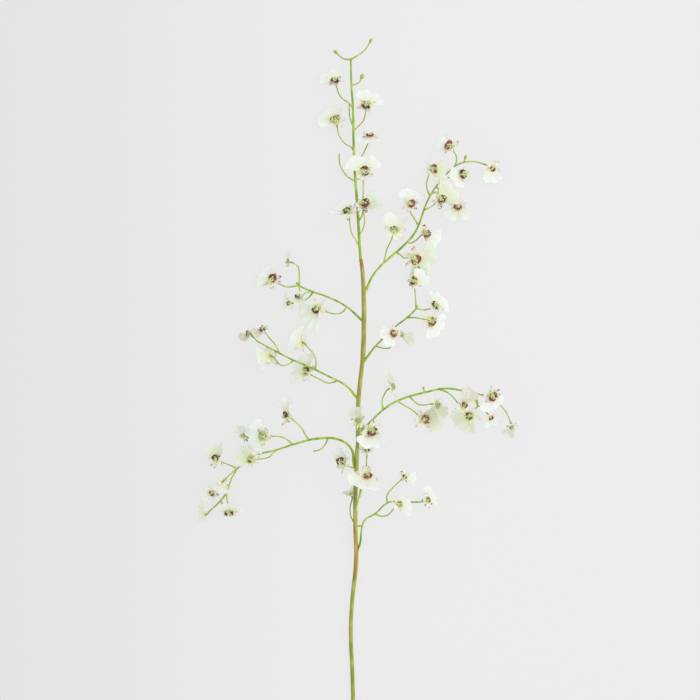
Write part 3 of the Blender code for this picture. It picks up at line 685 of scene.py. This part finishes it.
def column_plastic():
    """Mint-green plastic of the column and the tongue, mixed towards cream on some blossoms."""
    material, tree, shader = new_material("column_mint")
    mottle = use_group(tree, "mottle", Scale=500.0)
    cloud = mottle["Value"]
    streak = mottle["Streak"]
    mint = add_ramp(tree, cloud, (0.3, (144, 194, 112)), (0.5, (174, 218, 144)), (0.7, (214, 236, 184)))
    cream = add_ramp(tree, cloud, (0.3, (166, 188, 96)), (0.5, (206, 216, 140)), (0.7, (232, 236, 190)))
    colour = add_mix(tree, read_mark(tree, "cream"), mint, cream)
    finish_shader(tree, shader, colour, (streak, 0.2, 0.35), (streak, 0.0002, 0.4))
    return material


def stem_plastic(name, deep, mean, pale, tint=None):
    """Moulded plastic with soft mottling and fine lengthwise lines, and painted light: paler on its +X side,
    the side towards the key lamp.
    """
    material, tree, shader = new_material(name, specular=0.3)
    mottle = use_group(tree, "mottle", Scale=160.0, Stretch=0.3)
    # Painted light: points that face +X are lifted towards the pale colour, as if lit by the key lamp.
    mottle_and_painted_light = add_value(tree, "MULTIPLY_ADD", read_mark(tree, "side"), 0.3, mottle["Value"])
    colour = add_ramp(tree, mottle_and_painted_light, (0.47, deep), (0.65, mean), (0.83, pale))
    if tint:
        colour = tint(tree, colour)
    streak = mottle["Streak"]
    finish_shader(tree, shader, colour, (streak, 0.25, 0.42), (streak, 0.0004, 0.35))
    return material


def olive_tint(tree, colour):
    """The main stem is orange-brown above the lowest branch and red-brown at the sheath's tip."""
    along = add_node(tree, "SeparateXYZ", Vector=object_places(tree)).outputs["Y"]
    foot = (to_row @ CUT_END).y
    share = add_range(tree, along, foot, foot + SHEATH_END * MM)
    brown = add_ramp(tree, share, (0.36, (150, 158, 60)), (0.43, (188, 138, 48)), (0.5, (152, 148, 60)),
                     (0.62, (148, 148, 58)), (0.93, (164, 166, 76)), (0.978, (158, 92, 52)))
    return add_mix(tree, 0.55, colour, brown)


def pod_tint(tree, colour):
    """A stalk is bluish where it swells behind a blossom."""
    return add_mix(tree, read_mark(tree, "ovary"), colour, (128, 166, 108))


MATERIALS = {
    "lip": lip_cloth(),
    "tepal": tepal_cloth(),
    "crest": crest_cloth(),
    "column": column_plastic(),
    "stem_olive": stem_plastic("stem_olive", (92, 100, 28), (148, 156, 56), (206, 210, 116), olive_tint),
    "stem_green": stem_plastic("stem_green", (112, 146, 30), (148, 182, 48), (186, 212, 92)),
    "stalk": stem_plastic("stalk_green", (136, 166, 42), (164, 190, 64), (194, 214, 106), pod_tint),
}


# ---- the blossom's pieces, modelled once


def model_lip():
    """The lip spread flat: a line of points spun into a fan, drawn out into two lobes and two ears."""
    lip = start_model(bpy.ops.mesh.primitive_plane_add, size=1)
    select_where(lambda place: place.x > 0)
    bpy.ops.mesh.delete(type="VERT")
    select_all()
    span = LIP_LENGTH - LIP_CLAW
    shift(0.5, 0.5, 0)
    stretch(1, span, 1)
    shift(0, LIP_CLAW, 0)
    bpy.ops.mesh.subdivide(number_cuts=LIP_ROWS - 1)
    select_all()
    bpy.ops.mesh.spin(steps=LIP_COLUMNS, angle=radians(2 * LIP_SPREAD), center=(0, 0, 0), axis=(0, 0, 1))
    bpy.ops.object.mode_set(mode="OBJECT")
    points = points_of(lip.data)
    radius = np.hypot(points[:, 0], points[:, 1])
    bearing = np.degrees(np.arctan2(points[:, 1], points[:, 0]))
    middle = (bearing.min() + bearing.max()) / 2
    turn = (bearing - middle) / LIP_SPREAD
    reach = np.clip((radius - LIP_CLAW) / span, 0, 1)
    lobes = 1 - LIP_NOTCH * np.exp(-((turn / NOTCH_WIDTH) ** 2)) - LIP_SIDE * np.abs(turn) ** 5
    radius = LIP_CLAW + (radius - LIP_CLAW) * lobes
    angle = np.radians(turn * LIP_SPREAD * (1 + EAR_TURN * np.exp(-((reach / EAR_LENGTH) ** 2))) - 90)
    put_points(lip.data, np.stack((radius * np.cos(angle), radius * np.sin(angle), 0 * radius), axis=1))
    mark(lip.data, "reach", reach)
    mark(lip.data, "turn", turn)
    return take_mesh(lip)


def model_tepals():
    """Five pointed tepals, spread flat: one strip shaped row by row, then turned round the heart."""
    rows = len(TEPAL_WIDTHS) - 1
    tepals = start_model(bpy.ops.mesh.primitive_grid_add, x_subdivisions=2, y_subdivisions=rows, size=1)
    shift(0, 0.5, 0)
    stretch(TEPAL_WIDTH, TEPAL_LENGTH - TEPAL_START, 1)
    shift(0, TEPAL_START, 0)
    step = (TEPAL_LENGTH - TEPAL_START) / rows
    for row, width in enumerate(TEPAL_WIDTHS):
        height = TEPAL_START + row * step
        select_where(lambda place: abs(place.y - height) < step / 3)
        stretch(width, 1, 1, about=(0, height, 0))
    select_where(lambda place: abs(place.x) < 0.01)
    shift(0, 0, -TEPAL_HOLLOW)
    bpy.ops.object.mode_set(mode="OBJECT")
    points = points_of(tepals.data)
    mark(tepals.data, "reach", (points[:, 1] - TEPAL_START) / (TEPAL_LENGTH - TEPAL_START))
    mark(tepals.data, "across", points[:, 0])
    mark(tepals.data, "bearing", 90)
    one = tepals.data.copy()
    for turn in TEPAL_TURNS[1:]:
        other = one.copy()
        other.transform(Matrix.Rotation(radians(turn), 4, "Z"))
        mark(other, "bearing", 90 + turn)
        add_mesh(tepals.data, other)
    return take_mesh(tepals)


def add_mesh(mesh, other):
    """Adds another mesh's faces and marks to the mesh."""
    sheet = bmesh.new()
    sheet.from_mesh(mesh)
    sheet.from_mesh(other)
    sheet.to_mesh(mesh)
    sheet.free()
    bpy.data.meshes.remove(other)


def add_lobe(place, half_sizes, segments, widened=None):
    """A rounded lobe: a sphere stretched to its half sizes, with the end past the cut widened."""
    lobe = start_model(bpy.ops.mesh.primitive_uv_sphere_add, segments=segments, ring_count=6, radius=1)
    if widened:
        cut, factor = widened
        select_where(lambda point: point.y < cut)
        stretch(factor, 1, 1, about=(0, -1, 0))
        select_all()
    stretch(*half_sizes)
    shift(*place)
    return take_mesh(lobe)


def model_column():
    """The column: a hooded post that leans over the lip, the tongue before it and the collar behind."""
    column = start_model(bpy.ops.mesh.primitive_uv_sphere_add, segments=10, ring_count=7,
                         radius=COLUMN_RADIUS)
    stretch(0.75, 0.8, 1.8)
    select_where(lambda place: place.z > 0.9)
    shift(0, -1.0, 0)
    stretch(1.2, 1.2, 1, about=(0, -1.0, 1.6))
    select_all()
    shift(0, 0.3, 2.3)
    post = take_mesh(column)
    add_mesh(post, add_lobe((0, -2.6, 2.7), (0.85, 1.5, 0.8), 8, widened=(-0.4, 1.5)))
    add_mesh(post, add_lobe((0, 2.7, 1.7), (1.5, 1.7, 0.8), 8))
    return post


def model_crest():
    """The crest: a roll bent round the column, open at the top."""
    crest = start_model(bpy.ops.mesh.primitive_torus_add, major_segments=26, minor_segments=8,
                        major_radius=CREST_RADIUS, minor_radius=CREST_THICKNESS)
    select_where(lambda place: place.y > 0.3 * CREST_RADIUS and abs(place.x) < 0.8 * CREST_RADIUS)
    bpy.ops.mesh.delete(type="FACE")
    select_all()
    bpy.ops.mesh.select_non_manifold(extend=False)
    bpy.ops.mesh.edge_face_add()
    return take_mesh(crest)


# ---- each blossom in its own shape


def lip_shape(flat, blossom, draw):
    """The flat lip's points, pleated from the heart out, ruffled at the rim and folded forwards."""
    points = points_of(flat)
    reach = marks(flat, "reach")
    turn = marks(flat, "turn")
    radius = np.hypot(points[:, 0], points[:, 1])
    angle = np.arctan2(points[:, 0], -points[:, 1])
    wide = max(blossom.spread, FOLD_SPREAD)
    frill = np.sin(turn * draw(8, 12) + draw(0, 6))
    frill = frill + np.sin(turn * 23 + draw(0, 6))
    radius = radius * (1 + LIP_FRILL * reach ** 4 * frill)
    angle = angle * wide / LIP_SPREAD
    x = radius * np.sin(angle)
    y = -radius * np.cos(angle)
    pleats = np.sin(turn * pi * draw(1.3, 2.1) + draw(0, 6))
    ruffles = np.sin(turn * pi * draw(3.2, 4.6) + draw(0, 6))
    z = draw(0.7, 1.7) * reach ** 1.4 * pleats + draw(0.6, 1.2) * reach ** 2.4 * ruffles
    z = z + draw(-2.0, 2.4) * reach ** 2
    z = z + EAR_LIFT * np.exp(-((reach / 0.22) ** 2)) * np.abs(turn) ** 2
    if blossom.spread < FOLD_SPREAD:
        half = LIP_LENGTH * sin(radians(FOLD_SPREAD))
        narrowed = sin(radians(blossom.spread)) / sin(radians(FOLD_SPREAD))
        bend = half / sqrt(6 * (1 - narrowed))
        z = z + bend * (1 - np.cos(x / bend))
        x = bend * np.sin(x / bend)
    return np.stack((x, y, z), axis=1)


def tepal_shape(flat, draw):
    """The tepals' points, each tepal with its own droop, sway, twist and length."""
    points = points_of(flat)
    reach = marks(flat, "reach")
    across = marks(flat, "across")
    bearing = marks(flat, "bearing")
    for turn in TEPAL_TURNS:
        mine = np.abs(bearing - (90 + turn)) < 1
        along = reach[mine]
        length = draw(0.78, 1.04)
        twist = draw(-1.1, 1.1) * along
        sway = np.radians(90 + turn) + draw(-0.4, 0.4) * along
        distance = TEPAL_START + (TEPAL_LENGTH - TEPAL_START) * along * length
        rise = draw(-0.6, 3.2) * along + draw(-3.2, 2.2) * along ** 2
        rise = rise + 0.5 * along * np.sin(along * draw(6, 10) + draw(0, 6))
        side = across[mine]
        sideways = side * np.cos(twist)
        points[mine, 2] += side * np.sin(twist) + rise
        points[mine, 0] = distance * np.cos(sway) - sideways * np.sin(sway)
        points[mine, 1] = distance * np.sin(sway) + sideways * np.cos(sway)
    return points


def crest_shape(plain, draw):
    """The crest's points, swollen into a lobe on each side and a low bridge before the column."""
    points = points_of(plain)
    bearing = np.arctan2(points[:, 0], -points[:, 1])
    ring = np.stack((CREST_RADIUS * np.sin(bearing), -CREST_RADIUS * np.cos(bearing), 0 * bearing), axis=1)
    side_lobes = np.where(bearing > 0, draw(0.5, 1.1), draw(0.5, 1.1))
    swell = 0.55 + side_lobes * np.exp(-(((np.abs(bearing) - 1.15) / 0.5) ** 2))
    swell = swell + draw(-0.1, 0.7) * np.exp(-((bearing / 0.4) ** 2))
    knobs = 1 + 0.3 * np.sin(bearing * draw(7, 9) + draw(0, 6))
    knobs = knobs + 0.12 * np.sin(points[:, 2] * 5 + bearing * 4)
    points = ring + (points - ring) * (swell * knobs)[:, None]
    points = points * (draw(0.92, 1.12), draw(0.88, 1.1), 1)
    return points + (0, CREST_MIDDLE, CREST_HEIGHT)


def settle(mesh, place):
    """Puts a finished mesh in its place, pressed softly between the table and the part's top."""
    mesh.transform(place)
    points = points_of(mesh)
    low = points[:, 2] < SOFT
    points[low, 2] = SOFT * np.exp(points[low, 2] / SOFT - 1)
    top = cad_box[1][2]
    past = (points[:, 2] - (top - SOFT)) / SOFT
    high = past > 0
    points[high, 2] = top - SOFT * np.exp(-past[high])
    put_points(mesh, points)


def add_blossom(number, blossom, models):
    """A blossom's lip, tepals and heart, each in its own mesh."""
    draw = random.Random(number).uniform
    name = f"blossom_{number:02d}"
    node = blossom.stem if number in JOINED else name
    place = blossom_matrix(blossom)

    lip = models["lip"].copy()
    put_points(lip, lip_shape(models["lip"], blossom, draw))
    piece = add_piece(name + "_lip", lip, "petal", node)
    lip.materials.append(MATERIALS["lip"])
    # Painted shade: the listed lips take the greener, darker print in full, and the others a little of it at
    # random.
    mark(lip, "green", STRONG if number in SHADED_GREENER_LIPS else draw(0.0, 0.3))
    mark(lip, "tan", TAN.get(number, 0.0))
    finish_mesh(piece, LIP_THICKNESS / blossom.size)
    settle(piece.data, place)

    tepals = models["tepals"].copy()
    put_points(tepals, tepal_shape(models["tepals"], draw))
    piece = add_piece(name + "_tepals", tepals, "petal", node)
    tepals.materials.append(MATERIALS["tepal"])
    mark(tepals, "spotted", FULLY_SPOTTED if number in SPOTTED else draw(0.45, 1.0))
    finish_mesh(piece, TEPAL_THICKNESS / blossom.size)
    settle(piece.data, place)

    heart = models["crest"].copy()
    put_points(heart, crest_shape(models["crest"], draw))
    heart.materials.append(MATERIALS["crest"])
    heart.materials.append(MATERIALS["column"])
    crest_faces = len(heart.polygons)
    add_mesh(heart, models["column"].copy())
    for face in heart.polygons[crest_faces:]:
        face.material_index = 1
    mark(heart, "brown", STRONG if number in BROWN else 0.0)
    mark(heart, "pink", STRONG if number in CRIMSON else draw(0.0, 0.35))
    mark(heart, "faded", 1.0 if number in FADED else 0.5 if number in WASHED else 0.0)
    mark(heart, "cream", draw(0.0, 0.8))
    piece = add_piece(name + "_heart", heart, "crest", node)
    finish_mesh(piece)
    small, most, large = HEART_SIZES
    heart_size = large if number in BOLD else small if number in SLIGHT else most
    askew = radians(ASKEW.get(number, draw(-30, 30)))
    middle = Vector((0, HEART_MIDDLE, 0))
    taller = Matrix.Diagonal((1, 1, TALL_HEART if number in TALL else 1, 1))
    turn = Matrix.Rotation(askew, 4, "Z") @ Matrix.Scale(heart_size, 4) @ taller
    settle(piece.data, place @ Matrix.Translation(middle) @ turn @ Matrix.Translation(-middle))


# ---- stems


def tube_mesh(points, sides, steps):
    """A closed round mesh along a smooth curve through (x, y, z, radius) points in mm."""
    curve = bpy.data.curves.new("route", "CURVE")
    curve.dimensions = "3D"
    curve.bevel_depth = 1
    curve.bevel_resolution = (sides - 4) // 2
    curve.use_fill_caps = True
    curve.resolution_u = steps
    spline = curve.splines.new("BEZIER")
    spline.bezier_points.add(len(points) - 1)
    for knot, (x, y, z, radius) in zip(spline.bezier_points, points):
        knot.co = (x, y, z)
        knot.radius = radius
        knot.handle_left_type = knot.handle_right_type = "AUTO"
    guide = new_object("route", curve)
    graph = bpy.context.evaluated_depsgraph_get()
    mesh = bpy.data.meshes.new_from_object(guide.evaluated_get(graph))
    bpy.data.objects.remove(guide)
    bpy.data.curves.remove(curve)
    tube = bmesh.new()
    tube.from_mesh(mesh)
    bmesh.ops.remove_doubles(tube, verts=tube.verts, dist=1e-4)
    bmesh.ops.recalc_face_normals(tube, faces=tube.faces)
    tube.to_mesh(mesh)
    tube.free()
    mesh.shade_smooth()
    return mesh


def flared(points):
    """A stalk's points with their radius, flared where it leaves its stem."""
    radii = [STALK_RADIUS * STALK_FLARE] + [STALK_RADIUS] * (len(points) - 1)
    return [(*point, radius) for point, radius in zip(points, radii)]


def blossom_stalk(blossom):
    """A stalk from its stem to the back of its blossom, swollen into the seed pod at its end."""
    face, _ = blossom_axes(blossom)
    base = blossom_base(blossom)
    arrival = (Vector(blossom.stalk[-1]) - base).normalized()
    bend = 1 if len(blossom.stalk) == 1 else POD_BEND
    pod = []
    for back, radius in POD_SHAPE:
        way = (arrival * bend * back - face * (1 - bend * back)).normalized()
        pod.append((*(base + way * (PETAL_BACK + OVARY_LENGTH * back)), radius))
    return flared(blossom.stalk) + pod


def bud_stalk(bud):
    """A stalk that ends in a closed bud."""
    end = Vector(bud.stalk[-1])
    ahead = (end - Vector(bud.stalk[-2])).normalized()
    swelling = [(*(end + ahead * bud.length * along), bud.radius * share) for along, share in BUD_SHAPE]
    return flared(bud.stalk) + swelling


def place_stem(mesh):
    """Puts a stem's mesh in the row, flat on the table, and marks how far each point faces +X, for the
    painted light that makes that side paler.
    """
    mesh.transform(to_row)
    points = points_of(mesh)
    points[:, 2] = np.maximum(points[:, 2], 0)
    put_points(mesh, points)
    # Painted light: this mark makes the side facing +X paler in the stem materials.
    normals = np.empty(len(points) * 3)
    mesh.vertex_normals.foreach_get("vector", normals)
    mark(mesh, "side", 0.5 + 0.5 * normals[::3])


def add_stem(name, middle_line):
    """A stem's tube, and the stalks, buds and bare spurs that leave it."""
    main = name == "main_stem"
    mesh = tube_mesh(middle_line, TUBE_SIDES, TUBE_STEPS)
    mesh.materials.append(MATERIALS["stem_olive" if main else "stem_green"])
    place_stem(mesh)
    add_piece(name + "_tube", mesh, "stem" if main else "branch", name)

    routes = [blossom_stalk(blossom) for blossom in BLOSSOMS if blossom.stem == name]
    routes += [bud_stalk(bud) for bud in BUDS if bud.stem == name]
    routes += [flared(points) for owner, points in SPURS if owner == name]
    stalks = tube_mesh(routes[0], STALK_SIDES, STALK_STEPS)
    for route in routes[1:]:
        add_mesh(stalks, tube_mesh(route, STALK_SIDES, STALK_STEPS))
    points = points_of(stalks)
    ovary = np.zeros(len(points))
    for blossom in BLOSSOMS:
        if blossom.stem == name:
            away = np.linalg.norm(points - np.array(blossom_base(blossom)), axis=1)
            ovary = np.maximum(ovary, np.clip((OVARY_LENGTH + 1 - away) / OVARY_FADE, 0, 1))
    mark(stalks, "ovary", ovary)
    stalks.materials.append(MATERIALS["stalk"])
    place_stem(stalks)
    add_piece(name + "_stalks", stalks, "branch", name)


# ---- floor, lights and camera


def add_floor():
    """A plain pale floor that glows a little, as a light table does, so that shadows stay faint."""
    start_modelling()
    bpy.ops.mesh.primitive_plane_add(size=FLOOR_SIZE, location=(0, 0, 0))
    floor = bpy.context.object
    floor.name = "floor"
    material, tree, shader = new_material("floor_pale", specular=0.1)
    across = add_node(tree, "SeparateXYZ", Vector=object_places(tree)).outputs["X"]
    left, right = FLOOR_GLOW
    glow = add_range(tree, across, *FLOOR_FADE, right, left, "SMOOTHSTEP")
    set_inputs(tree, shader, Base_Color=linear(FLOOR_GREY), Roughness=0.9, Emission_Color=(1, 1, 1, 1),
               Emission_Strength=glow)
    floor.data.materials.append(material)


def add_studio():
    """Even light from all round with a soft key lamp above on the right."""
    scene = bpy.context.scene
    scene.view_settings.view_transform = "Standard"
    scene.world = bpy.data.worlds.new("studio")
    scene.world.use_nodes = True
    tree = scene.world.node_tree
    set_inputs(tree, tree.nodes["Background"], Color=(1, 1, 1, 1), Strength=SKY_STRENGTH)
    lamp = bpy.data.lights.new("key", "AREA")
    lamp.size = KEY_SIZE
    lamp.energy = KEY_POWER
    light = new_object("key", lamp)
    light.location = KEY_PLACE
    light.rotation_mode = "QUATERNION"
    light.rotation_quaternion = (-Vector(KEY_PLACE)).to_track_quat("-Z", "Y")
    light.visible_camera = False


def add_camera():
    """Straight above the spray, looking down, with the tip at the top."""
    data = bpy.data.cameras.new("camera")
    data.lens = CAMERA_LENS
    data.clip_start = CAMERA_NEAR
    camera = new_object("camera", data)
    camera.location = to_row @ Vector(CAMERA_PLACE)
    bpy.context.scene.camera = camera


add_floor()
add_studio()
add_camera()
for stem_name, stem_line in STEMS.items():
    add_stem(stem_name, stem_line)
blossom_models = {
    "lip": model_lip(),
    "tepals": model_tepals(),
    "column": model_column(),
    "crest": model_crest(),
}
for count, one_blossom in enumerate(BLOSSOMS, 1):
    add_blossom(count, one_blossom, blossom_models)

start_modelling()
